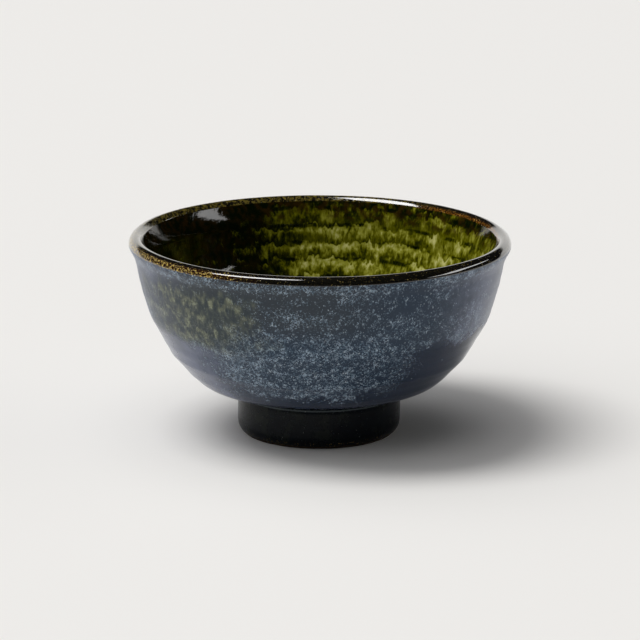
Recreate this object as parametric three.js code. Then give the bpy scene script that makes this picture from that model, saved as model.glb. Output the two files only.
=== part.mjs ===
import * as THREE from 'three';

// A hand-thrown stoneware rice bowl with a rolled lip, on a tall foot that was thrown by itself and
// luted under the bowl. Glaze coats lie on the clay. Millimetres, +Z up, and the origin is the middle
// of the foot's contact face. Every outline is drawn in the plane of radius and height and is then
// turned about the upright axis. Outlines run with the clay on their left-hand side.

// Sizes over the glaze
const RIM_DIAMETER = 155;
const HEIGHT = 82;
const LIP_THICKNESS = 6.2;
const FOOT_DIAMETER = 66.4;
const FOOT_HEIGHT = 19.8;

// Glaze
const COAT = 0.5;
const WELL_POOL = 0.6;
const BARE_BAND = 1.4;

// The thrown wall: it leaves the foot flat, turns up at the shoulder and flares from the neck to the lip
const SHOULDER_DIAMETER = 101;
const SHOULDER_RISE = 3.8;
const SHOULDER_SLOPE = 41.5;
const SHOULDER_PULL = 0.3;
const UNDERSIDE_PULL_OUT = 0.55;
const UNDERSIDE_PULL_IN = 0.3;
const NECK_DROP = 12.2;
const NECK_INSET = 3.7;
const NECK_SLOPE = 80.5;
const NECK_PULL = 0.465;
const FLARE_PULL = 0.4;
const LIP_START_ANGLE = -30;
const RIM_GLAZE_ANGLE = 0;
const LIP_END_ANGLE = 180;

// The inside: it follows the wall down from the lip, then leaves it for the round well
const WALL_THICKNESS = 5;
const HEEL_THICKNESS = 6.4;
const WELL_LEAVES_WALL = 0.38;
const WELL_PULL_OUT = 0.3;
const WELL_PULL_IN = 0.5;
const FLOOR_THICKNESS = 6;

// The foot: bevelled at the table, with a ridge and a tooled groove under the bowl
const FOOT_WALL = 7.4;
const FOOT_INSIDE_FLARE = 1;
const BASE_SAG = 1.5;
const BASE_PULL = 0.4;
const BEVEL_WIDTH = 1.9;
const BEVEL_HEIGHT = 5;
const BEVEL_SLOPE = 58;
const BEVEL_PULL = 0.4;
const INSIDE_BEVEL = 1;
const RIDGE_HEIGHT = 0.5;
const RIDGE_WIDTH = 3;
const GROOVE_DEPTH = 0.6;
const GROOVE_WIDTH = 2.4;

// Fineness of the turned faces
const TURN_STEPS = 48;
const UNDERSIDE_STEPS = 4;
const BELLY_STEPS = 8;
const FLARE_STEPS = 3;
const UNDER_LIP_STEPS = 1;
const LIP_STEPS = 6;
const INNER_WALL_STEPS = 5;
const WELL_STEPS = 6;
const BASE_STEPS = 3;
const BEVEL_STEPS = 3;

// Places worked out from the sizes
const lipRadius = LIP_THICKNESS / 2;
const lipCentre = new THREE.Vector2(RIM_DIAMETER / 2 - lipRadius, HEIGHT - lipRadius);
const seatHeight = FOOT_HEIGHT + COAT;
const footRadius = FOOT_DIAMETER / 2 - COAT;
const footBore = footRadius - FOOT_WALL;
const shoulder = new THREE.Vector2(SHOULDER_DIAMETER / 2, seatHeight + SHOULDER_RISE);
const neck = new THREE.Vector2(RIM_DIAMETER / 2 - NECK_INSET, HEIGHT - NECK_DROP);

const radians = THREE.MathUtils.degToRad;

// The unit vector that points a number of degrees up from the outward radius.
function heading(degrees) {
  return new THREE.Vector2(Math.cos(radians(degrees)), Math.sin(radians(degrees)));
}

// A smooth stretch between two points with a heading at each end. The pulls are shares of the chord.
function stretch(from, fromDegrees, fromPull, to, toDegrees, toPull) {
  const chord = from.distanceTo(to);
  const leave = from.clone().addScaledVector(heading(fromDegrees), fromPull * chord);
  const arrive = to.clone().addScaledVector(heading(toDegrees), -toPull * chord);
  return new THREE.CubicBezierCurve(from, leave, arrive, to);
}

// A point on the clay, the way out of it, and the glaze that lies on it there.
function station(clay, out, coat = COAT) {
  return { clay, out, glaze: clay.clone().addScaledVector(out, coat) };
}

// A station where two faces meet at a square corner, with the coats mitred.
function corner(clay, outRadius, outHeight) {
  return station(clay, new THREE.Vector2(outRadius, outHeight));
}

// The right-hand side of a heading, which is the way out of the clay.
function rightOf(tangent) {
  return new THREE.Vector2(tangent.y, -tangent.x);
}

// Stations at even steps along a curve, without its first point, which the stretch before it has.
function along(curve, steps, coatAt = () => COAT) {
  return Array.from({ length: steps }, (_, i) => {
    const t = (i + 1) / steps;
    return station(curve.getPoint(t), rightOf(curve.getTangent(t)), coatAt(t));
  });
}

// Stations on the corners of an outline, each facing out between its two neighbours.
function alongPoints(points) {
  return points.slice(1, -1).map((point, i) => {
    const tangent = points[i + 2].clone().sub(points[i]).normalize();
    return station(point, rightOf(tangent));
  });
}

const clayOf = (stations) => stations.map((s) => s.clay);
const glazeOf = (stations) => stations.map((s) => s.glaze);

// The outside of the foot, from the table up to the seat under the bowl
const contactEdge = new THREE.Vector2(footRadius - BEVEL_WIDTH, 0);
const bevelTop = new THREE.Vector2(footRadius, BEVEL_HEIGHT);
const bevel = stretch(contactEdge, BEVEL_SLOPE, BEVEL_PULL, bevelTop, 90, BEVEL_PULL);
const bareShare = BARE_BAND / BEVEL_HEIGHT;
const bareLine = station(bevel.getPoint(bareShare), new THREE.Vector2(1, 0));
const seatEdge = new THREE.Vector2(footRadius, seatHeight);
const grooveMiddle = seatHeight - GROOVE_WIDTH / 2;
const ridgeTop = seatHeight - GROOVE_WIDTH - COAT;
const footSide = [
  bareLine,
  ...along(bevel, BEVEL_STEPS).slice(1),
  ...alongPoints([
    bevelTop,
    new THREE.Vector2(footRadius, ridgeTop - RIDGE_WIDTH),
    new THREE.Vector2(footRadius + RIDGE_HEIGHT, ridgeTop - RIDGE_WIDTH / 3),
    new THREE.Vector2(footRadius + RIDGE_HEIGHT / 2, ridgeTop),
    new THREE.Vector2(footRadius - GROOVE_DEPTH, grooveMiddle),
    seatEdge,
  ]),
  corner(seatEdge, 1, -1),
];

// The outside of the bowl, from the seat to the lip
const lipStart = lipCentre.clone().addScaledVector(heading(LIP_START_ANGLE), lipRadius - COAT);
const underside = stretch(seatEdge, 0, UNDERSIDE_PULL_OUT, shoulder, SHOULDER_SLOPE, UNDERSIDE_PULL_IN);
const belly = stretch(shoulder, SHOULDER_SLOPE, SHOULDER_PULL, neck, NECK_SLOPE, NECK_PULL);
const flare = stretch(neck, NECK_SLOPE, FLARE_PULL, lipStart, LIP_START_ANGLE + 90, FLARE_PULL);
const outside = [
  corner(seatEdge, 1, -1),
  ...along(underside, UNDERSIDE_STEPS),
  ...along(belly, BELLY_STEPS),
  ...along(flare, FLARE_STEPS).slice(0, -1),
];

// The roll of the lip: the outside's glaze climbs to its widest point, where the rim's own glaze begins
function lipArc(fromAngle, toAngle, steps) {
  return Array.from({ length: steps + 1 }, (_, i) => {
    const out = heading(THREE.MathUtils.lerp(fromAngle, toAngle, i / steps));
    return station(lipCentre.clone().addScaledVector(out, lipRadius - COAT), out);
  });
}
const underLip = lipArc(LIP_START_ANGLE, RIM_GLAZE_ANGLE, UNDER_LIP_STEPS);
const lip = lipArc(RIM_GLAZE_ANGLE, LIP_END_ANGLE, LIP_STEPS);

// The inside, from the lip down the wall and across the well to the axis
function insideOf(t) {
  const share = (1 - t) / (1 - WELL_LEAVES_WALL);
  const thickness = THREE.MathUtils.lerp(WALL_THICKNESS, HEEL_THICKNESS, share);
  return belly.getPoint(t).addScaledVector(rightOf(belly.getTangent(t)), -thickness);
}
const lipEnd = lip.at(-1);
const wallTop = insideOf(1);
const throat = stretch(lipEnd.clay, LIP_END_ANGLE + 90, FLARE_PULL, wallTop, NECK_SLOPE + 180, FLARE_PULL);
const innerWall = Array.from({ length: INNER_WALL_STEPS + 1 }, (_, i) => {
  const t = THREE.MathUtils.lerp(1, WELL_LEAVES_WALL, i / INNER_WALL_STEPS);
  return station(insideOf(t), rightOf(belly.getTangent(t)).negate());
});
const wellEdge = innerWall.at(-1);
const wellHeading = wellEdge.out.angle() - Math.PI / 2;
const floorHeight = seatHeight - BASE_SAG + FLOOR_THICKNESS;
const wellMiddle = new THREE.Vector2(0, floorHeight);
const well = stretch(
  wellEdge.clay, THREE.MathUtils.radToDeg(wellHeading) + 180, WELL_PULL_OUT, wellMiddle, 180, WELL_PULL_IN,
);
const inside = [
  lipEnd,
  ...along(throat, FLARE_STEPS).slice(0, -1),
  ...innerWall,
  ...along(well, WELL_STEPS, (t) => COAT + WELL_POOL * t * t).slice(0, -1),
  station(wellMiddle, new THREE.Vector2(0, 1), COAT + WELL_POOL),
];

// The hollow of the foot, from the axis across the base and down to the table
const baseMiddle = new THREE.Vector2(0, seatHeight - BASE_SAG);
const seatBore = new THREE.Vector2(footBore, seatHeight);
const base = stretch(baseMiddle, 0, BASE_PULL, seatBore, 0, BASE_PULL);
const hollowFoot = new THREE.Vector2(footBore + FOOT_INSIDE_FLARE, INSIDE_BEVEL + BARE_BAND);
const hollow = [
  station(baseMiddle, new THREE.Vector2(0, -1)),
  ...along(base, BASE_STEPS).slice(0, -1),
  corner(seatBore, -1, -1),
  station(hollowFoot, new THREE.Vector2(-1, 0)),
];
const contactBore = new THREE.Vector2(hollowFoot.x + INSIDE_BEVEL, 0);
const hollowBevel = new THREE.Vector2(hollowFoot.x, INSIDE_BEVEL);

const bowl = new THREE.Group();

// Turns an outline about the upright axis into one closed solid of its own colour.
function turned(name, outline, color, roughness) {
  const geometry = new THREE.LatheGeometry(outline, TURN_STEPS);
  geometry.rotateX(Math.PI / 2);
  const material = new THREE.MeshStandardMaterial({ color, roughness, metalness: 0 });
  const mesh = new THREE.Mesh(geometry, material);
  mesh.name = name;
  bowl.add(mesh);
}

// A coat runs along its glaze and back along the clay.
const ringCoat = (stations) => [...glazeOf(stations), ...clayOf(stations).reverse(), stations[0].glaze];

turned('clay_body', [
  ...clayOf(hollow).slice(0, -1),
  ...clayOf(outside),
  ...clayOf(underLip),
  ...clayOf(lip).slice(1),
  ...clayOf(inside).slice(1),
], 0x6b5644, 0.9);

turned('foot_ring', [
  contactBore,
  contactEdge,
  ...clayOf(footSide),
  ...clayOf(hollow).slice(-2),
  hollowBevel,
  contactBore,
], 0x5e4b3b, 0.92);

turned('outer_glaze', ringCoat([...outside, ...underLip]), 0x39424f, 0.32);

turned('rim_glaze', ringCoat(lip), 0x1d1712, 0.14);

turned('inner_glaze', [...clayOf(inside).reverse(), ...glazeOf(inside)], 0x4a4d18, 0.16);

turned('foot_glaze', ringCoat(footSide), 0x14181a, 0.35);

turned('base_glaze', [...glazeOf(hollow), ...clayOf(hollow).reverse()], 0x171a1b, 0.4);

export default bowl;
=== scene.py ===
# %% [markdown]
# # A hand-thrown stoneware bowl
#
# The bowl was thrown on a wheel, set on a tall foot and glazed in zones: moss green inside, iron brown on
# the lip, speckled blue-black outside and near-black on the foot. A measured model of it already exists,
# with plain turned solids. This lesson loads that model as a fixed frame and then makes each piece again as
# a fine skin with the marks of the hand in it, so that the sizes stay true and only the surface changes.

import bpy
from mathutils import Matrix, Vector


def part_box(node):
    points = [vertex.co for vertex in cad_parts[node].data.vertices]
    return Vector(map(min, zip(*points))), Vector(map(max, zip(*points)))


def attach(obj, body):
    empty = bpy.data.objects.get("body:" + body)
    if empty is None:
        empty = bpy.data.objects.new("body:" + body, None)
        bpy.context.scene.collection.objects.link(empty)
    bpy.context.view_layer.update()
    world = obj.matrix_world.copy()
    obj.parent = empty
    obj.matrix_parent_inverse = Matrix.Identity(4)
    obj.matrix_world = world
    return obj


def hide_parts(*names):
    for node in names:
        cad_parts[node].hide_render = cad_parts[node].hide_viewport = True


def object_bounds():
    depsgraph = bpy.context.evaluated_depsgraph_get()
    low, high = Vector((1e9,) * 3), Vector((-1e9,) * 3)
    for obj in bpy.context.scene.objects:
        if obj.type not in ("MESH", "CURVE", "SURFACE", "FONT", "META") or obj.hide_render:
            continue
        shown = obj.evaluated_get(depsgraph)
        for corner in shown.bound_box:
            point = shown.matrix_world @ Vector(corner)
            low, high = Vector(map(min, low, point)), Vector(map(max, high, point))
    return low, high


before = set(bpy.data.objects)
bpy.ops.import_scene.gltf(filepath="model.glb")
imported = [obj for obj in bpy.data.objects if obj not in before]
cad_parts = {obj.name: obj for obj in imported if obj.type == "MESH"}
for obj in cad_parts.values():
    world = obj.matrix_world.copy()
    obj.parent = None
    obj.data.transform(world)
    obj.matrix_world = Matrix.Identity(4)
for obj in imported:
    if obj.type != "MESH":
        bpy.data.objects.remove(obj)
cad_box = [list(corner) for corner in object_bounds()]
print("nodes:", sorted(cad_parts))
print("box in metres:", cad_box)

# %% [markdown]
# ## Sizes
#
# A potter knows a bowl by a few sizes: the width of the rim, the height, the foot. Those come from the frame,
# so that this script follows the model if it changes. The sizes that shape the outline between them are
# written here in millimetres, and meshes are turned into metres at the very end.

# %% Read the driving sizes
import math

import bpy
import numpy as np

MM = 0.001
TURN = 2 * math.pi

RIDGE_HEIGHT = 0.5
rim_radius = cad_box[1][0] / MM
height = cad_box[1][2] / MM
foot_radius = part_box("foot_ring")[1].x / MM - RIDGE_HEIGHT
seat_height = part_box("foot_ring")[1].z / MM
floor_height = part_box("inner_glaze")[0].z / MM
coat = rim_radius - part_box("clay_body")[1].x / MM
print(f"rim {2 * rim_radius:.1f} mm, height {height:.1f} mm")
print(f"foot {2 * foot_radius:.1f} mm, coat {coat:.2f} mm")

# %% [markdown]
# ## Camera
#
# The photograph is a studio picture from a little above the rim, taken from far away with a long lens, so
# the ellipse of the rim is flat and the sides hardly converge. The distance, the height and the lens were
# worked out from that ellipse and from the foot. A small shift puts the bowl where it stands in the frame.

# %% Place the camera
CAMERA_DISTANCE = 1.4
CAMERA_ELEVATION = math.radians(14.5)
CAMERA_TARGET = np.array([0.0, 0.0, 0.040])
SENSOR_WIDTH = 36.0
LENS = 193.0
FRAME_SHIFT = 0.0209

camera = bpy.data.objects.new("camera", bpy.data.cameras.new("camera"))
camera.data.sensor_width = SENSOR_WIDTH
camera.data.lens = LENS
camera.data.shift_y = FRAME_SHIFT
towards_camera = np.array([0.0, -math.cos(CAMERA_ELEVATION), math.sin(CAMERA_ELEVATION)])
camera.location = CAMERA_TARGET + CAMERA_DISTANCE * towards_camera
camera.rotation_euler = (math.pi / 2 - CAMERA_ELEVATION, 0, 0)
bpy.context.scene.collection.objects.link(camera)
bpy.context.scene.camera = camera
print("camera at", [round(value, 3) for value in camera.location])

# %% [markdown]
# ## Light
#
# The shadow falls to the right with a wide soft edge, and the front of the lip shows one long thin streak:
# that is a long soft box overhead, a little to the left. A wide, flat box stands low on the right and shows
# as short streaks inside the bowl and on the lip. Both are oval lamps hung so far away that the pale floor
# stays even from edge to edge. Sun lamps would be as even, but they are always round.

# %% Hang the soft boxes
BOX_DISTANCE = 20.0
KEY_WAY = (-0.39, -0.03, 0.92)
SIDE_WAY = (0.90, 0.14, 0.40)


def soft_box(name, direction, level, wide, tall):
    """An oval lamp: the light it gives to a face turned to it, and the angles it fills along and up."""
    lamp = bpy.data.lights.new(name, "AREA")
    lamp.shape = "ELLIPSE"
    lamp.size = 2 * BOX_DISTANCE * math.tan(math.radians(wide / 2))
    lamp.size_y = 2 * BOX_DISTANCE * math.tan(math.radians(tall / 2))
    lamp.energy = level * math.pi * BOX_DISTANCE ** 2
    stand = bpy.data.objects.new(name, lamp)
    way = np.array(direction) / np.linalg.norm(direction)
    stand.location = BOX_DISTANCE * way
    stand.rotation_euler = (math.acos(way[2]), 0, math.atan2(way[1], way[0]) + math.pi / 2)
    bpy.context.scene.collection.objects.link(stand)
    return stand


key = soft_box("key_box", KEY_WAY, level=1.75, wide=21, tall=36)
side = soft_box("side_box", SIDE_WAY, level=0.35, wide=56, tall=6)
print("soft boxes:", key.name, side.name)

# %% [markdown]
# ## One way to write shader maths
#
# Glaze is layers of noise, masks and colour, which is a lot of nodes. A small class wraps a socket, so that a
# sum or a product written in Python adds the Math node by itself, and a second class holds a material and
# has the one method that adds any node.

# %% Wrap sockets and materials
class Wire:
    """One output of a node. Arithmetic on wires and numbers adds Math nodes."""

    def __init__(self, finish, socket):
        self.finish = finish
        self.socket = socket

    def maths(self, operation, first, second):
        return self.finish.node("ShaderNodeMath", {"operation": operation}, {0: first, 1: second})

    def __add__(self, other):
        return self.maths("ADD", self, other)

    def __sub__(self, other):
        return self.maths("SUBTRACT", self, other)

    def __rsub__(self, other):
        return self.maths("SUBTRACT", other, self)

    def __mul__(self, other):
        return self.maths("MULTIPLY", self, other)

    def __truediv__(self, other):
        return self.maths("DIVIDE", self, other)

    def __rtruediv__(self, other):
        return self.maths("DIVIDE", other, self)

    __radd__ = __add__
    __rmul__ = __mul__


class Finish:
    """A node tree, and the method that adds a node to it."""

    def __init__(self, tree):
        self.tree = tree

    def node(self, kind, settings=None, sockets=None, output=0):
        """Adds a node: its settings first, then the value of, or a link to, each socket."""
        made = self.tree.nodes.new(kind)
        for name, value in (settings or {}).items():
            if name == "stops":
                set_stops(made.color_ramp, value)
            else:
                setattr(made, name, value)
        for name, value in (sockets or {}).items():
            self.join(value, made.inputs[name])
        return Wire(self, made.outputs[output])

    def join(self, value, socket):
        if isinstance(value, Wire):
            self.tree.links.new(value.socket, socket)
        else:
            socket.default_value = value

    def mix(self, share, first, second):
        """The first colour where the share is 0, and the second where it is 1."""
        sockets = {0: share, 6: first, 7: second}
        return self.node("ShaderNodeMix", {"data_type": "RGBA"}, sockets, output=2)

    def step(self, value, low, high):
        """A smooth step: 0 where the value is below low, 1 where it is above high."""
        sockets = {"Value": value, "From Min": low, "From Max": high}
        return self.node("ShaderNodeMapRange", {"interpolation_type": "SMOOTHSTEP"}, sockets)

    def noise(self, place, size, detail=2.0, roughness=0.5, distortion=0.0):
        """Cloudy noise from 0 to 1 whose lumps are about a size in millimetres."""
        sockets = {
            "Vector": place, "Scale": 1 / (size * MM), "Detail": detail,
            "Roughness": roughness, "Distortion": distortion,
        }
        return self.node("ShaderNodeTexNoise", None, sockets)

    def parts(self, place):
        """The three coordinates of a place."""
        return [self.node("ShaderNodeSeparateXYZ", None, {0: place}, output=i) for i in range(3)]

    def stretch(self, place, scale):
        """A place with each of its coordinates multiplied."""
        return self.node("ShaderNodeVectorMath", {"operation": "MULTIPLY"}, {0: place, 1: scale})


def set_stops(ramp, stops):
    """Gives a colour ramp its stops, as pairs of a place and a colour."""
    while len(ramp.elements) < len(stops):
        ramp.elements.new(1.0)
    for element, (place, colour) in zip(ramp.elements, stops):
        element.position = place
        element.color = colour


print("shader helpers ready")

# %% [markdown]
# ## The floor
#
# The bowl stands on white paper. The paper is one wide flat sheet, matt and without any gloss, and it only
# has to be pale and to take the shadow. It belongs to the stage and not to the bowl.

# %% Lay the paper
PAPER = (0.855, 0.84, 0.81, 1)
FLOOR_REACH = 20.0

floor_mesh = bpy.data.meshes.new("paper_floor")
floor_corners = FLOOR_REACH * np.array([[-1, -1, 0], [1, -1, 0], [1, 1, 0], [-1, 1, 0]])
floor_mesh.from_pydata(floor_corners.tolist(), [], [[0, 1, 2, 3]])
floor_sheet = bpy.data.objects.new("paper_floor", floor_mesh)
bpy.context.scene.collection.objects.link(floor_sheet)

paper = bpy.data.materials.new("white_paper")
paper.use_nodes = True
paper_shader = paper.node_tree.nodes["Principled BSDF"]
paper_shader.inputs["Base Color"].default_value = PAPER
paper_shader.inputs["Roughness"].default_value = 0.9
paper_shader.inputs["Specular IOR Level"].default_value = 0.0
floor_mesh.materials.append(paper)
print("floor reaches", FLOOR_REACH, "m each way")

# %% [markdown]
# ## The room
#
# The paper runs up behind the bowl, in a room whose ceiling is dark. The room is the world. What is seen or
# mirrored of it is pale near the horizon and dark overhead. As a light it is a broad glow round the key box
# and a dim one from the left, which soften the shadow. Light Path tells the two uses apart.

# %% Paint the room
CEILING = (0.006, 0.006, 0.007, 1)
GLOW = (1.10, 1.10, 1.12, 1)
SIDE_GLOW = (0.26, 0.26, 0.27, 1)
DARK = (0.0, 0.0, 0.0, 1)
BACKDROP_RISE = 0.30

world = bpy.data.worlds.new("studio_room")
bpy.context.scene.world = world
world.use_nodes = True
room = Finish(world.node_tree)
way = room.node("ShaderNodeTexCoord", output=0)
way_right, way_back, way_up = room.parts(way)
backdrop = BACKDROP_RISE * room.step(way_back, 0.6, 0.95)
wall = room.mix(room.step(way_up - backdrop, 0.0, 0.08), PAPER, CEILING)
to_key = room.node("ShaderNodeVectorMath", {"operation": "DOT_PRODUCT"}, {0: way, 1: KEY_WAY}, output=1)
fill = room.mix(room.step(way_right, -0.7, 0.3), SIDE_GLOW, DARK)
fill = room.mix(room.step(to_key, 0.55, 0.95), fill, GLOW)
rays = ("Is Camera Ray", "Is Glossy Ray", "Is Transmission Ray")
by_camera, by_gloss, by_glass = [room.node("ShaderNodeLightPath", output=ray) for ray in rays]
seen = room.node("ShaderNodeClamp", None, {0: by_camera + by_gloss + by_glass})
background = world.node_tree.nodes["Background"]
room.join(room.mix(seen, fill, wall), background.inputs["Color"])
bpy.context.scene.view_settings.view_transform = "Standard"
print("room has", len(world.node_tree.nodes), "nodes")

# %% [markdown]
# ## The outline of the clay
#
# A turned bowl is one outline carried round an axis. The outline is drawn in the plane of radius and height
# from smooth stretches, each with a heading at both ends, and a round lip. It could be traced as a long list
# of points, but a few headings say the same and can be changed by hand.

# %% Draw the stretches
SHOULDER = (50.5, seat_height + 3.8)
NECK = (rim_radius - 3.7, height - 12.2)
LIP_RADIUS = 3.1
LIP_START = -30.0
LIP_END = 159.0
LIP_FLAT = 0.2
POINTS = 80

lip_centre = np.array([rim_radius - LIP_RADIUS, height - LIP_RADIUS])


def heading(degrees):
    """The unit vector so many degrees up from the outward radius."""
    angle = np.radians(degrees)
    return np.stack([np.cos(angle), np.sin(angle)], -1)


def stretch(start, start_degrees, start_pull, end, end_degrees, end_pull):
    """A cubic curve that leaves and arrives along its headings. Each pull is a share of the chord."""
    start, end = np.array(start, float), np.array(end, float)
    chord = np.linalg.norm(end - start)
    leave = start + start_pull * chord * heading(start_degrees)
    arrive = end - end_pull * chord * heading(end_degrees)
    t = np.linspace(0, 1, POINTS)[:, None]
    return (1 - t) ** 3 * start + 3 * t * (1 - t) ** 2 * leave + 3 * t * t * (1 - t) * arrive + t ** 3 * end


def bell(place, middle, reach):
    """A bell curve that is 1 at its middle and a third of that at its reach."""
    return np.exp(-((place - middle) / reach) ** 2)


def lip_arc(start, end):
    """The clay's lip between two angles: a circle, drawn in on both shoulders where the leather wiped it."""
    degrees = np.linspace(start, end, POINTS)
    flatter = LIP_FLAT * (0.5 * bell(degrees, 23, 16) + 0.6 * bell(degrees, 58, 18) + bell(degrees, 135, 25))
    return lip_centre + (LIP_RADIUS - coat - flatter)[:, None] * heading(degrees)


def joined(*lines):
    """Lines end to end, without the points that they share."""
    return np.concatenate([lines[0]] + [line[1:] for line in lines[1:]])


def way_out(line):
    """The unit vector to the right of a line at each of its points, which is the way out of the clay."""
    along = np.gradient(line, axis=0)
    along /= np.linalg.norm(along, axis=1)[:, None]
    return np.stack([along[:, 1], -along[:, 0]], -1)


seat_edge = (foot_radius, seat_height)
underside = stretch(seat_edge, 0, 0.55, SHOULDER, 41.5, 0.3)
belly = stretch(SHOULDER, 41.5, 0.3, NECK, 80.5, 0.465)
flare = stretch(NECK, 80.5, 0.4, lip_arc(LIP_START, 0)[0], LIP_START + 90, 0.4)
outside_clay = joined(underside, belly, flare, lip_arc(LIP_START, 0))
lip_clay = lip_arc(0, LIP_END)
print("outside from", outside_clay[0].round(2), "to", outside_clay[-1].round(2))

# %% [markdown]
# ## The inside of the wall
#
# A thrown wall is a little thicker at the heel than at the neck. So the inside is the belly moved inwards by
# a thickness that grows on the way down, and then one round stretch across the well.

# %% Draw the inside
WALL_THICKNESS = 5.0
HEEL_THICKNESS = 6.4
WELL_LEAVES_WALL = 0.38

share_up = np.linspace(0, 1, POINTS)
thickness = np.interp(share_up, [WELL_LEAVES_WALL, 1], [HEEL_THICKNESS, WALL_THICKNESS])
inner_belly = belly - thickness[:, None] * way_out(belly)
inner_wall = inner_belly[share_up >= WELL_LEAVES_WALL][::-1]
throat = stretch(lip_clay[-1], LIP_END + 90, 0.12, inner_wall[0], 260.5, 0.35)
heel_turn = inner_wall[-1] - inner_wall[-2]
heel_degrees = math.degrees(math.atan2(heel_turn[1], heel_turn[0]))
well = stretch(inner_wall[-1], heel_degrees, 0.3, (0, floor_height), 180, 0.5)
inside_clay = joined(throat, inner_wall, well)
print("inside from", inside_clay[0].round(2), "to", inside_clay[-1].round(2))

# %% [markdown]
# ## The foot
#
# The foot was thrown by itself and luted on. It is bevelled at the table, has a soft ridge below the bowl
# and a tooled groove above the ridge. Ridge and groove are two bell curves added to a plain side.

# %% Draw the foot
BEVEL_WIDTH = 1.9
BEVEL_HEIGHT = 5.0
BARE_BAND = 1.4
RIDGE_AT = seat_height - 3.9
RIDGE_REACH = 0.8
GROOVE_AT = seat_height - 1.6
GROOVE_REACH = 1.1
GROOVE_DEPTH = 0.9
FOOT_WALL = 7.4
HOLLOW_FLARE = 1.0
INSIDE_BEVEL = 1.0
BASE_SAG = 1.5

bevel = stretch((foot_radius - BEVEL_WIDTH, 0), 58, 0.4, (foot_radius, BEVEL_HEIGHT), 90, 0.4)
side_height = np.linspace(BEVEL_HEIGHT, seat_height, POINTS)
side_radius = foot_radius + RIDGE_HEIGHT * bell(side_height, RIDGE_AT, RIDGE_REACH)
side_radius -= GROOVE_DEPTH * bell(side_height, GROOVE_AT, GROOVE_REACH)
side_radius[-1] = foot_radius
foot_clay = joined(bevel, np.stack([side_radius, side_height], -1))
foot_glazed = foot_clay[foot_clay[:, 1] >= BARE_BAND]

bore = foot_radius - FOOT_WALL
base = stretch((0, seat_height - BASE_SAG), 0, 0.4, (bore, seat_height), 0, 0.4)
hollow_foot = np.array([[bore, seat_height], [bore + HOLLOW_FLARE, INSIDE_BEVEL + BARE_BAND]])
hollow_clay = joined(base, hollow_foot)
print("foot", foot_clay[0].round(2), "to", foot_clay[-1].round(2), "hollow to", hollow_clay[-1].round(2))

# %% [markdown]
# ## From outline to skin
#
# Each piece is a closed skin: a front that is seen and a back that lies on its neighbour. Both are grids of
# rows along the outline and columns round the axis. The rows of the back and the front together run once
# round the outline, so that joining each row to the next closes the skin. A row on the axis is one point.

# %% Write the grid into a mesh
def even(line, count):
    """The same line at even steps of its length."""
    length = np.concatenate([[0], np.cumsum(np.linalg.norm(np.diff(line, axis=0), axis=1))])
    steps = np.linspace(0, length[-1], count)
    return np.stack([np.interp(steps, length, line[:, 0]), np.interp(steps, length, line[:, 1])], -1)


def corners_of(rows, columns, ring):
    """The row and the column of each corner of each face, one face to a line."""
    row, column = np.meshgrid(np.arange(rows if ring else rows - 1), np.arange(columns), indexing="ij")
    row_corners = np.stack([row, row, row + 1, row + 1], -1).reshape(-1, 4)
    column_corners = np.stack([column, column + 1, column + 1, column], -1).reshape(-1, 4)
    return row_corners, column_corners


def unwrap(row_corners, column_corners, front, rows, columns, strips):
    """A flat place for each corner: the front as a stack of strips, the back in a thin band below it."""
    first, last = front
    is_front = (row_corners[:, :1] >= first) & (row_corners[:, 2:3] <= last)
    strip = column_corners[:, :1] * strips // columns
    u = np.where(is_front, column_corners * strips / columns - strip, column_corners / columns)
    up = 0.04 + 0.92 * (row_corners - first) / (last - first)
    v = np.where(is_front, 0.06 + 0.94 * (strip + up) / strips, 0.05 * (row_corners / rows))
    return np.stack([0.005 + 0.99 * u, v], -1)


def skin(name, grid, front, ring, strips):
    """A closed mesh from a grid of points: rows, columns and three coordinates in millimetres."""
    rows, columns = grid.shape[:2]
    row_corners, column_corners = corners_of(rows, columns, ring)
    flat = unwrap(row_corners, column_corners, front, rows, columns, strips)
    index = (row_corners % rows) * columns + column_corners % columns
    if not ring:
        index[row_corners == 0] = 0
        index[row_corners == rows - 1] = (rows - 1) * columns
    used, index = np.unique(index, return_inverse=True)
    index = index.reshape(-1, 4)
    keep = [np.arange(4)] * 3 if ring else [np.array([0, 2, 3]), np.arange(4), np.array([0, 1, 2])]
    parts = [slice(0, columns), slice(columns, len(index) - columns), slice(len(index) - columns, None)]
    faces = [index[part][:, kept].tolist() for part, kept in zip(parts, keep)]
    mesh = bpy.data.meshes.new(name)
    mesh.from_pydata((grid.reshape(-1, 3)[used] * MM).tolist(), [], sum(faces, []))
    places = np.concatenate([flat[part][:, kept].reshape(-1, 2) for part, kept in zip(parts, keep)])
    mesh.uv_layers.new(name="OFBake").uv.foreach_set("vector", places.astype(np.float32).ravel())
    mesh.shade_smooth()
    mesh.set_sharp_from_angle(angle=math.radians(50))
    piece = bpy.data.objects.new(name, mesh)
    bpy.context.scene.collection.objects.link(piece)
    print(name, "has", sum(len(face) - 2 for part in faces for face in part), "triangles")
    return piece


print("grid helpers ready")

# %% [markdown]
# ## Marks of the hand
#
# No thrown bowl is perfectly round. The fingers leave a slow spiral of rings, a few presses leave flat
# places, and the rim leans by a fraction of a degree. Each mark is a formula in the angle round the bowl and
# the height. All of them only take clay away or lower it, so that the bowl stays within its measured box.

# %% Press the rings and flats into the wall
LEAN = 0.7
FOOT_SET = -0.5
OUTSIDE_RINGS = 0.06
TRIM_EDGES = (26.0, 34.0, 48.5)
FLATS = (
    (-60, 56.0, 26, 6.0, 0.25),
    (48, 41.0, 24, 5.0, 0.30),
    (92, 57.0, 24, 6.0, 0.25),
    (140, 37.0, 26, 6.0, 0.35),
    (-150, 50.0, 28, 7.0, 0.30),
)


def rings(angle, up, pitch):
    """A spiral of soft waves, one pitch higher with each turn, from -1 to 0."""
    return 0.5 * np.sin(TURN * up / pitch + angle) - 0.5


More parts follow.
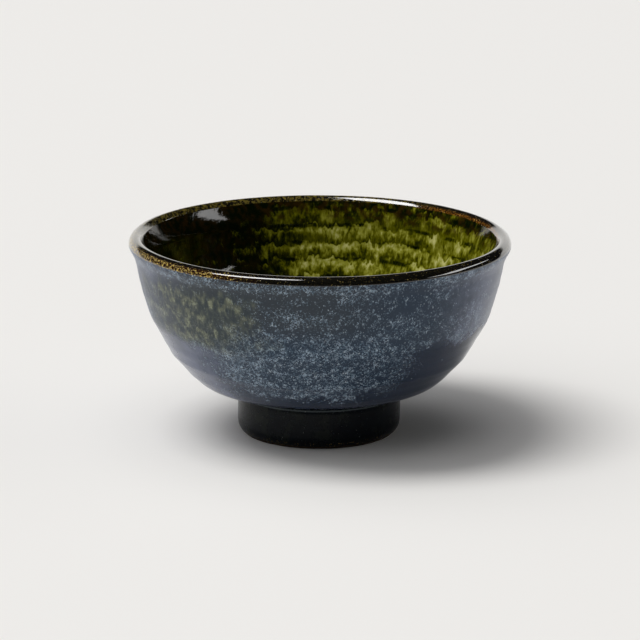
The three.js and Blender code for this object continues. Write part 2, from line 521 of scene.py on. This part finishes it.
def sway(angle, up):
    """The height of a place by the edges of the trimmed bands, which wander up and down round the bowl."""
    return up + 0.9 * np.sin(angle + 0.6) + 0.5 * np.sin(3 * angle + 2.0)


def trimmed(angle, up):
    """Bands cut straight by the trimming tool: a parabola of the curve's own sag between two edges."""
    depth = np.zeros(np.broadcast(angle, up).shape)
    for low, high in zip(TRIM_EDGES[:-1], TRIM_EDGES[1:]):
        inside = np.clip((sway(angle, up) - low) / (high - low), 0, 1)
        ends = np.array([belly[np.abs(belly[:, 1] - edge).argmin()] for edge in (low, high)])
        middle = belly[np.abs(belly[:, 1] - (low + high) / 2).argmin()]
        chord = (ends[1] - ends[0]) / np.linalg.norm(ends[1] - ends[0])
        off = middle - ends[0]
        sag = abs(off[0] * chord[1] - off[1] * chord[0])
        depth -= sag * 4 * inside * (1 - inside)
    return depth


def flats(angle, up):
    """Broad shallow presses, each a bell curve round the bowl times a bell curve up it."""
    depth = np.zeros(np.broadcast(angle, up).shape)
    for degrees, middle, wide, tall, deep in FLATS:
        turned = (angle - math.radians(degrees) + math.pi) % TURN - math.pi
        depth -= deep * bell(turned, 0, math.radians(wide)) * bell(up, middle, tall)
    return depth


def by_hand(points):
    """The lean of the rim and the foot that was set a little off the middle."""
    share = points[..., 2] / height
    moved = points.copy()
    moved[..., 2] -= LEAN * share * (points[..., 0] + rim_radius) / (2 * rim_radius)
    moved[..., 0] += FOOT_SET * bell(points[..., 2], 0, seat_height)
    return moved


every_angle, every_height = np.radians(np.arange(-180, 180))[None], np.arange(height)[:, None]
print("deepest flat:", round(float(flats(every_angle, every_height).min()), 2), "mm")

# %% [markdown]
# ## Turning a coat
#
# The hand marks the clay, and the glaze lies on it. So the outline of the clay is first pressed by the relief
# at each angle, and a coat is that pressed clay moved out by the coat's thickness. The back of the coat is
# the pressed clay itself, with fewer rows because nobody sees it. One function makes any such zone.

# %% Press the clay and coat it
def turned(lines):
    """Lines of radius and height, one to a column, carried round the axis from the front to the right."""
    angle = TURN * np.arange(lines.shape[1]) / lines.shape[1]
    radius, up = lines[..., 0], lines[..., 1]
    return by_hand(np.stack([radius * np.sin(angle), -radius * np.cos(angle), up], -1))


def plain(angle, up):
    """No relief at all."""
    return np.zeros(np.broadcast(angle, up).shape)


def pressed(line, columns, relief):
    """A line of the clay at each angle round the bowl, moved along its way out by the relief there."""
    angle = TURN * np.arange(columns) / columns
    return line[:, None] + way_out(line)[:, None] * relief(angle[None], line[:, 1:])[..., None]


def coat_piece(name, clay, grid, relief=plain, thick=None, ends=(None, None), strips=2, axis_row=None):
    """A coat on a stretch of clay: its line, rows and columns, the relief, and which row is on the axis."""
    rows, columns = grid
    line = even(clay, rows)
    out = way_out(line)
    for place, end in zip((0, -1), ends):
        if end is not None:
            out[place] = end
    depth = np.full(rows, coat) if thick is None else thick(np.linspace(0, 1, rows))
    back = pressed(line, columns, relief)
    front = back + (out * depth[:, None])[:, None]
    if axis_row is not None:
        front[axis_row, :, 0] = 0
    back = back[np.unique(np.append(np.arange(0, rows, 4), rows - 1))]
    lines = np.concatenate([front, back[::-1]] if axis_row == 0 else [back[::-1], front])
    first = 0 if axis_row == 0 else len(back)
    return skin(name, turned(lines), (first, first + rows - 1), axis_row is None, strips)


def fade(up, low, high):
    """0 below low, 1 above high and smooth between."""
    t = np.clip((up - low) / (high - low), 0, 1)
    return t * t * (3 - 2 * t)


print("coat of", round(coat, 2), "mm")

# %% [markdown]
# ## The outside coat
#
# The outside carries fine rings, a few presses of the hand and the bands that the trimming tool cut straight.
# All of it dies away at the foot and under the lip, where the coat meets its neighbours.

# %% Turn the outside
def outside_relief(angle, up):
    """Two spirals of rings, the flats and the trimmed bands, gone at the foot and at the lip."""
    waves = OUTSIDE_RINGS * (rings(angle, up, 6.3) + 0.7 * rings(-2 * angle + 1, up, 4.1))
    marks = waves + flats(angle, up) + trimmed(angle, up)
    return marks * fade(up, 21, 25) * (1 - fade(up, 70, 77))


outer = coat_piece("outer_glaze_skin", outside_clay, (124, 600), outside_relief, ends=((1, -1), (1, 0)))

# %% [markdown]
# ## The lip
#
# A wet leather strip rounds the lip, and it never does so quite evenly. A few slow waves round the rim are
# enough to bend the streaks of light on it as they bend on the real bowl.

# %% Turn the lip
LIP_WAVE = 0.07


def lip_relief(angle, up):
    """Three slow waves round the rim, strongest on the crest and gone where the lip meets its neighbours."""
    waves = np.sin(3 * angle + 0.4) + 0.6 * np.sin(7 * angle + 2.0) + 0.35 * np.sin(16 * angle)
    return LIP_WAVE * (waves / 2 - 1) * fade(up, lip_centre[1] + 0.2, lip_centre[1] + 1.6)


rim = coat_piece("rim_glaze_skin", lip_clay, (36, 900), lip_relief, ends=((1, 0), heading(LIP_END)), strips=7)

# %% [markdown]
# ## The inside coat
#
# Fingertips drew the wall up and left a spiral of shallow dips, deeper here and there. The glaze ran down
# over them and gathered in the well, so the coat is thicker towards the middle of the floor.

# %% Turn the inside
ROW_PITCH = 7.0
FIRST_ROW = 56.0
INSIDE_DIP = 0.15
WELL_DEPTH = 0.6


def inside_relief(angle, up):
    """A spiral of shallow dips, one row higher with each turn, that wander and come and go."""
    wander = 0.12 * np.sin(2 * angle + 1) + 0.08 * np.sin(5 * angle)
    off_line = ((up - FIRST_ROW) / ROW_PITCH + wander + 0.5) % 1 - 0.5
    deeper = 0.5 + 0.35 * np.sin(angle) + 0.15 * np.sin(3 * angle - up / 5)
    dips = -INSIDE_DIP * deeper * bell(off_line, 0, 0.2)
    return dips * fade(up, 28, 40) * (1 - fade(up, 68, 74))


def well_coat(share):
    """The coat is deeper in the middle of the well, where the glaze ran together."""
    return coat + WELL_DEPTH * fade(share, 0.45, 1.0)


inner = coat_piece(
    "inner_glaze_skin", inside_clay, (148, 500), inside_relief, well_coat, (heading(LIP_END), (0, 1)),
    axis_row=-1,
)

# %% [markdown]
# ## The glaze on the foot and under the bowl
#
# The foot was dipped up to the bowl and wiped clean where it stands. The hollow inside it was glazed with a
# brush. Neither is marked by the hand, so both coats follow the drawn outline.

# %% Turn the foot and the hollow
foot = coat_piece("foot_glaze_skin", foot_glazed, (76, 480), ends=(None, (1, -1)), strips=3)
base_skin = coat_piece("base_glaze_skin", hollow_clay, (70, 300), ends=((0, -1), None), axis_row=0)

# %% [markdown]
# ## The clay
#
# Almost all of the clay is under glaze: only the ring that stands on the table is bare. The bowl is one
# closed outline from the middle of the base, round the lip and back to the middle of the well, pressed by the
# same reliefs as its coats. The foot is a ring of its own.

# %% Turn the clay
CLAY_COLUMNS = 300

seat = np.array([[bore, seat_height], seat_edge])
body_lines = np.concatenate([
    pressed(even(joined(base, seat), 24)[:-1], CLAY_COLUMNS, plain),
    pressed(even(outside_clay, 60)[:-1], CLAY_COLUMNS, outside_relief),
    pressed(even(lip_clay, 16)[:-1], CLAY_COLUMNS, lip_relief),
    pressed(even(inside_clay, 72), CLAY_COLUMNS, inside_relief),
])
body_lines[[0, -1], :, 0] = 0
body = skin("clay_body_core", turned(body_lines), (0, len(body_lines) - 1), False, 2)

table_ring = np.array([
    seat_edge, [bore, seat_height], hollow_foot[1], [bore + 1, INSIDE_BEVEL], [bore + 2, 0],
    [foot_radius - BEVEL_WIDTH, 0],
])
foot_line = joined(foot_clay, table_ring)[:-1]
ring_lines = np.repeat(foot_line[:, None], CLAY_COLUMNS, axis=1)
ring = skin("foot_ring_clay", turned(ring_lines), (0, len(foot_line) - 1), True, 3)

# %% [markdown]
# ## A glaze as a material
#
# All the glazes read the same things: the place on the bowl, the height, the distance from the axis and the
# angle round it, all from object coordinates, so that a pattern crosses from piece to piece without a seam.
# A glaze then gives a colour, a roughness and a fine relief that catches the light.

# %% Set up a glaze
class Glaze(Finish):
    """A finish on the bowl, with its shader and the places that its patterns read."""

    def __init__(self, name, **constants):
        self.material = bpy.data.materials.new(name)
        self.material.use_nodes = True
        super().__init__(self.material.node_tree)
        self.shader = self.tree.nodes["Principled BSDF"]
        for socket, value in constants.items():
            self.shader.inputs[socket.replace("_", " ")].default_value = value
        self.place = self.node("ShaderNodeTexCoord", output=3)
        x, y, z = self.parts(self.place)
        level = self.stretch(self.place, (1, 1, 0))
        self.up = z / MM
        self.radius = self.node("ShaderNodeVectorMath", {"operation": "LENGTH"}, {0: level}, output=1) / MM
        self.angle = self.node("ShaderNodeMath", {"operation": "ARCTAN2"}, {0: x, 1: 0 - y})

    def fraction(self, value):
        return self.node("ShaderNodeMath", {"operation": "FRACT"}, {0: value})

    def size_of(self, value):
        return self.node("ShaderNodeMath", {"operation": "ABSOLUTE"}, {0: value})

    def most(self, first, second):
        return self.node("ShaderNodeMath", {"operation": "MAXIMUM"}, {0: first, 1: second})

    def between(self, value, low, high, soft):
        """1 between two limits, with soft edges."""
        return self.step(value, low - soft, low + soft) * (1 - self.step(value, high - soft, high + soft))

    def ramp(self, value, *stops):
        """The colour that a ramp of places and colours gives for a value."""
        return self.node("ShaderNodeValToRGB", {"stops": stops}, {0: value})

    def wear(self, colour, roughness, relief, depth):
        """Links the colour, the roughness and a relief of a depth in millimetres to the shader."""
        self.join(colour, self.shader.inputs["Base Color"])
        self.join(roughness, self.shader.inputs["Roughness"])
        bump = self.node("ShaderNodeBump", None, {"Height": relief, "Distance": depth * MM})
        self.join(bump, self.shader.inputs["Normal"])
        return self.material


def rgb(red, green, blue):
    return (red, green, blue, 1)


print("glaze class ready")

# %% [markdown]
# ## Tufts of running glaze
#
# The green glaze ran down over the rings and left rows of pale tufts, each with a ragged top and a dark foot,
# like a row of trees above another. A row is the fraction of the height in a pitch, and two upright noises
# lift it: a wide one draws the crowns and a narrow one the strands.

# %% Draw the tufts
def tufts(glaze, first, pitch, wide):
    """Rows of tufts, from 0 at their feet to 1 under their tops, and the strands that they are made of."""
    crown = glaze.noise(glaze.stretch(glaze.place, (1, 1, 0.45)), wide, 3, 0.6)
    strand = glaze.noise(glaze.stretch(glaze.place, (1, 1, 0.35)), wide / 4, 3, 0.65)
    single = glaze.noise(glaze.place, 1.3 * wide, 2)
    lifted = glaze.up + 2.4 * pitch * (crown - 0.5) + 0.9 * pitch * (strand - 0.5)
    row = glaze.fraction((lifted - first) / pitch)
    tuft = glaze.step(row, 0.0, 0.8) * (1 - glaze.step(row, 0.88, 1.0))
    return tuft * glaze.step(single + 0.3 * strand, 0.45, 0.75), strand


print("tufts ready")

# %% [markdown]
# ## The inside glaze
#
# Moss green, nearly black where it is thick and pale where it is thin on the rings. Painted shade darkens
# the left of the wall, painted light brightens the far right, and iron turns the green to brown under the lip
# and here and there on the left.

# %% Finish the inside
def inner_finish():
    """Tone is the sum of tufts, strands and patches, with painted shade on the left and painted light on the
    right, and a ramp turns tone into green.
    """
    glaze = Glaze("moss_green_runs", IOR=1.5)
    tuft, strand = tufts(glaze, FIRST_ROW, ROW_PITCH, 7.5)
    patch = glaze.noise(glaze.place, 11, 3, 0.6)
    fine = glaze.noise(glaze.stretch(glaze.place, (1, 1, 0.5)), 0.8, 2)
    wall = glaze.step(glaze.radius, 30, 56)
    # Painted shade: the left of the wall, which the rim shades, is darkened in the tone; the same zone is
    # also browned with iron.
    thick = wall * glaze.between(glaze.angle + 0.5 * patch, -2.5, -0.3, 0.4)
    near_lip = glaze.step(glaze.up + 14 * (patch - 0.5) + 6 * (strand - 0.5), 70, 76)
    # Painted light: the far right of the wall, which the key box lights, is brightened in the tone.
    painted_light_right = wall * glaze.between(glaze.angle, 1.2, 2.6, 0.6)
    tone = 0.28 * tuft + 0.58 * patch + 0.36 * strand + 0.16 * fine + 0.06 * painted_light_right
    off_dip = glaze.fraction((glaze.up - FIRST_ROW) / ROW_PITCH + 0.5 + 0.5 * (patch - 0.5)) - 0.5
    broken = glaze.step(glaze.noise(glaze.place, 9, 2), 0.46, 0.6)
    pooled = broken * (1 - glaze.step(glaze.size_of(off_dip), 0.05, 0.16))
    tone = tone - 0.34 * thick - 0.18 * near_lip - 0.13 * pooled - 0.1 * (1 - wall)
    colour = glaze.ramp(
        tone,
        (0.40, rgb(0.002, 0.005, 0.0002)), (0.52, rgb(0.026, 0.03, 0.0003)), (0.64, rgb(0.12, 0.12, 0.0015)),
        (0.78, rgb(0.32, 0.32, 0.035)), (0.94, rgb(0.66, 0.64, 0.24)),
    )
    rust = glaze.step(glaze.noise(glaze.place, 3, 3), 0.4, 0.65)
    iron = glaze.most(near_lip, 0.6 * thick) * rust
    colour = glaze.mix(iron * 0.75, colour, rgb(0.03, 0.014, 0.001))
    return glaze.wear(colour, 0.04 + 0.04 * strand, tone, 0.04)


moss_inside = inner_finish()
print(moss_inside.name, "has", len(moss_inside.node_tree.nodes), "nodes")

# %% [markdown]
# ## The outside glaze
#
# A dark slate glaze full of fine pale crystals. The crystals are short crooked strokes: the places where a
# noise crosses its middle value are thin winding lines, and a second noise cuts them up. They are dense low
# on the belly and right under the lip, and missing where the tool left the glaze thin and smooth. A pale
# grey-blue sheen of reflected light is painted on both sides of the bowl. Zones are pairs of limits: angles
# in radians from the front, positive to the right, or heights in millimetres.

# %% Grow the crystals
# The angles where a sheen is painted on the right and on the left; the right one also smooths the glaze a
# little.
RIGHT_PAINTED_SHEEN = (0.88, 2.1)
LEFT_PAINTED_SHEEN = (-2.4, -1.0)
LOW_RIGHT = (0.62, 2.0)
LOW_LEFT = (-2.2, -0.74)
TRIM_TOP = (46, 51)
FOOT_EDGE = (21, 30)
LIP_EDGE = (73.5, 75.5)


def crystals(glaze):
    """The shares of pale stroke, bright dust, smooth glaze and painted sheen at a place, and two clouds."""
    cloud = glaze.noise(glaze.place, 17, 3, 0.55)
    band = glaze.noise(glaze.stretch(glaze.place, (0.1, 0.1, 1)), 5, 3)
    clump = glaze.noise(glaze.place, 3.2, 3, 0.6)
    grain = glaze.noise(glaze.place, 0.75, 2, 0.6)
    line = glaze.size_of(glaze.noise(glaze.place, 1.25, 2, 0.55, 0.8) - 0.5)
    stroke = 1 - glaze.step(line, 0.02, 0.06)
    under_lip = glaze.step(glaze.up + 4 * (band - 0.5), *LIP_EDGE)
    high = glaze.step(glaze.up, 46, 66) * (1 - under_lip)
    by_foot = 1 - glaze.step(glaze.up + 9 * (clump - 0.5) + 12 * (cloud - 0.5), *FOOT_EDGE)
    around = glaze.angle + 0.6 * (clump - 0.5)
    right = glaze.between(around, *RIGHT_PAINTED_SHEEN, 0.25)
    trimmed_low = 1 - glaze.step(glaze.up + 10 * (clump - 0.5) + 14 * (cloud - 0.5), *TRIM_TOP)
    low_right = glaze.between(around, *LOW_RIGHT, 0.2) * trimmed_low
    low_left = glaze.between(around, *LOW_LEFT, 0.2) * trimmed_low
    wiped = glaze.most(0.8 * by_foot, 0.85 * low_right)
    smooth = glaze.most(wiped, glaze.most(0.1 * right, 0.65 * low_left))
    left = glaze.between(around, *LEFT_PAINTED_SHEEN, 0.3)
    # Painted sheen: the sides of the bowl, except the smooth low right, where a reflection is painted into
    # the colour.
    painted_sheen = glaze.most(right * (1 - low_right), glaze.most(left, low_left))
    density = 0.4 * cloud + 0.25 * band + 0.45 * clump - 0.12 * high - 0.45 * smooth
    pale = stroke * glaze.step(density + 0.7 * (grain - 0.5), 0.40, 0.62)
    dust = glaze.step(grain + 0.25 * density, 0.77, 0.83)
    return pale, dust, smooth, painted_sheen, cloud, clump


def slate_colour(glaze, pale, dust, painted_sheen, cloud, clump):
    """Slate in two tints, browner high up, with a painted grey-blue sheen on the sides and crystals and dust
    over it.
    """
    brownish = glaze.step(glaze.up, 50, 64) * glaze.between(glaze.angle, -0.9, 0.25, 0.3)
    slate = glaze.mix(glaze.step(cloud, 0.4, 0.65), rgb(0.001, 0.008, 0.026), rgb(0.009, 0.015, 0.034))
    slate = glaze.mix(brownish * 0.8, slate, rgb(0.024, 0.022, 0.020))
    # Painted sheen: a pale grey-blue reflection of the room is mixed into the slate on the sides.
    slate = glaze.mix(painted_sheen * cloud * 1.7, slate, rgb(0.105, 0.120, 0.190))
    crystal = glaze.mix(glaze.step(clump, 0.35, 0.7), rgb(0.105, 0.175, 0.245), rgb(0.36, 0.46, 0.56))
    colour = glaze.mix(pale, slate, crystal)
    return glaze.mix(dust, colour, rgb(0.44, 0.50, 0.55))


print("crystals ready")

# %% [markdown]
# ## The green splash
#
# Some of the green glaze of the inside was ladled over the left of the outside and ran there in the same
# tufts. It is a zone with a ragged edge, which a noise moves in and out, and it is thinner where the sheen is
# painted. It could be a piece of its own, but it sank into the slate in the fire and has no edge to feel.

# %% Finish the outside
SPLASH_ROUND = (-1.40, -0.44)
SPLASH_UP = (48, 72)
SPLASH_ROW = 62.0
SPLASH_PITCH = 8.5


def green_splash(glaze, clump, pale):
    """The share of splash at a place, its tone as a sum of tufts, clumps and strands, and its colour."""
    edge = glaze.noise(glaze.place, 9, 4, 0.6) - 0.5
    across = glaze.between(glaze.angle + 0.8 * edge, *SPLASH_ROUND, 0.2)
    splash = across * glaze.between(glaze.up + 16 * edge, *SPLASH_UP, 5)
    tuft, strand = tufts(glaze, SPLASH_ROW, SPLASH_PITCH, 5.0)
    tone = 0.24 * tuft + 0.5 * clump + 0.36 * strand + 0.16 * pale
    moss = glaze.ramp(
        tone,
        (0.40, rgb(0.020, 0.025, 0.020)), (0.54, rgb(0.055, 0.06, 0.038)), (0.68, rgb(0.14, 0.145, 0.08)),
        (0.86, rgb(0.32, 0.33, 0.19)),
    )
    return splash, tone, moss


def outer_finish():
    """Slate under crystals, and the splash over it."""
    glaze = Glaze(
        "speckled_blue_black", Specular_IOR_Level=0.56, Specular_Tint=rgb(0.64, 0.82, 1.0),
        Sheen_Weight=0.10, Sheen_Roughness=0.4, Sheen_Tint=rgb(0.78, 0.82, 1.0),
    )
    pale, dust, smooth, painted_sheen, cloud, clump = crystals(glaze)
    slate = slate_colour(glaze, pale, dust, painted_sheen, cloud, clump)
    splash, tone, moss = green_splash(glaze, clump, pale)
    # The splash is laid thinner where the sheen is painted.
    colour = glaze.mix(splash * (0.9 - 0.3 * painted_sheen), slate, moss)
    roughness = 0.30 - 0.16 * smooth + 0.1 * splash
    return glaze.wear(colour, roughness, pale + 3 * splash * tone, 0.04)


slate_outside = outer_finish()
print(slate_outside.name, "has", len(slate_outside.node_tree.nodes), "nodes")

# %% [markdown]
# ## The glaze on the lip
#
# Iron glaze runs off a lip and leaves it thin. Where it is thick it is a glossy brown-black, and where it is
# thin it breaks into golden flecks: along the outer edge at the left, and as olive mottling on the far side.

# %% Finish the lip
def rim_finish():
    """Brown-black under flecks whose number follows the angle and the side of the lip."""
    glaze = Glaze("iron_brown_lip", IOR=1.55, Coat_Weight=0.9, Coat_Roughness=0.03, Coat_IOR=1.6)
    thin = glaze.noise(glaze.place, 0.6, 3, 0.65)
    slow = glaze.noise(glaze.place, 5, 3)
    outer_side = glaze.step(glaze.radius, lip_centre[0] + 1.2, lip_centre[0] + 2.2)
    inner_side = 1 - glaze.step(glaze.radius, lip_centre[0] - 2.2, lip_centre[0] - 1.4)
    gold_zone = outer_side * glaze.between(glaze.angle + 0.5 * (slow - 0.5), -1.9, -0.45, 0.2)
    far_left = 1 - glaze.between(glaze.angle, -1.35, 2.6, 0.25)
    fleck = glaze.step(thin + 0.10 * gold_zone, 0.64, 0.69)
    rust = glaze.step(thin + 0.1 * slow, 0.5, 0.62) * inner_side * glaze.between(glaze.angle, 1.1, 2.5, 0.2)
    mottle = glaze.step(glaze.noise(glaze.place, 1.5, 4, 0.65), 0.42, 0.62) * (0.02 + 0.98 * far_left)
    brown = glaze.mix(slow, rgb(0.002, 0.0025, 0.002), rgb(0.007, 0.006, 0.004))
    brown = glaze.mix(gold_zone, brown, rgb(0.022, 0.006, 0.002))
    gold = glaze.mix(glaze.noise(glaze.place, 1.6, 2), rgb(0.40, 0.24, 0.02), rgb(0.85, 0.66, 0.18))
    colour = glaze.mix(mottle, brown, rgb(0.13, 0.10, 0.018))
    colour = glaze.mix(rust, colour, rgb(0.22, 0.085, 0.006))
    colour = glaze.mix(fleck, colour, gold)
    return glaze.wear(colour, 0.06 + 0.12 * fleck, fleck + 0.5 * mottle, 0.03)


iron_lip = rim_finish()
print(iron_lip.name, "has", len(iron_lip.node_tree.nodes), "nodes")

# %% [markdown]
# ## The glaze on the foot
#
# Nearly black, with a breath of blue and olive in it. A thin pale highlight is painted along the ridge under
# the bowl, and a few sparks of ochre show at the wiped edge by the table.

# %% Finish the foot
def foot_finish():
    """Dark tints, a painted highlight line on the ridge, scattered specks and ochre near the table."""
    glaze = Glaze("near_black_foot", Specular_IOR_Level=0.12)
    cloud = glaze.noise(glaze.place, 7, 3, 0.6)
    speck_size = glaze.noise(glaze.place, 0.7, 2, 0.6)
    colour = glaze.ramp(
        cloud,
        (0.3, rgb(0.0003, 0.001, 0.004)), (0.5, rgb(0.001, 0.003, 0.005)), (0.7, rgb(0.009, 0.012, 0.009)),
    )
    # Painted highlight: a thin pale grey line along the ridge under the bowl.
    ridge = glaze.between(glaze.up + 0.8 * (speck_size - 0.5), RIDGE_AT - 0.35, RIDGE_AT + 0.3, 0.2)
    speck = glaze.step(speck_size, 0.71, 0.75)
    spark = glaze.step(speck_size + 0.12 * cloud, 0.68, 0.72) * (1 - glaze.step(glaze.up, 2.2, 3.4))
    colour = glaze.mix(ridge * 0.8, colour, rgb(0.07, 0.085, 0.09))
    colour = glaze.mix(speck, colour, rgb(0.18, 0.19, 0.17))
    colour = glaze.mix(spark, colour, rgb(0.20, 0.13, 0.04))
    return glaze.wear(colour, 0.16 + 0.2 * cloud, speck + 0.6 * cloud, 0.06)


dark_foot = foot_finish()
print(dark_foot.name, "has", len(dark_foot.node_tree.nodes), "nodes")

# %% [markdown]
# ## Bare clay
#
# The standing ring is bare, coarse and warm brown. It is darker at its outer edge next to the glaze, so from
# the side only a dark edge is seen.

# %% Finish the clay
def clay_finish():
    """Grog of several sizes, darkened up the outer bevel."""
    glaze = Glaze("bare_stoneware", Specular_IOR_Level=0.2)
    grog = glaze.noise(glaze.place, 0.9, 4, 0.7)
    warm = glaze.mix(grog, rgb(0.08, 0.05, 0.03), rgb(0.24, 0.17, 0.11))
    darker_outer_edge = glaze.step(glaze.radius, foot_radius - BEVEL_WIDTH - 1.2, foot_radius - BEVEL_WIDTH)
    colour = glaze.mix(darker_outer_edge * 0.9, warm, glaze.mix(grog, rgb(0.006, 0.005, 0.004), rgb(0.05, 0.03, 0.015)))
    return glaze.wear(colour, 0.8 + 0.15 * grog, grog, 0.15)


bare_clay = clay_finish()
print(bare_clay.name, "has", len(bare_clay.node_tree.nodes), "nodes")

# %% [markdown]
# ## Dressing the pieces
#
# Each skin takes its finish and then the place of the plain solid that it stands for in the frame.

# %% Dress every piece
dressed = (
    (outer, slate_outside, "outer_glaze", "outer_glaze"),
    (rim, iron_lip, "rim_glaze", "rim_glaze"),
    (inner, moss_inside, "inner_glaze", "inner_glaze"),
    (foot, dark_foot, "foot_glaze", "foot_glaze"),
    (base_skin, dark_foot, "base_glaze", "base_glaze"),
    (body, bare_clay, "clay_body", "bare_clay"),
    (ring, bare_clay, "foot_ring", "bare_clay"),
)
for piece, material, node, slot in dressed:
    piece.data.materials.append(material)
    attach(piece, "root")
    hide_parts(node)
print(len(dressed), "pieces dressed")
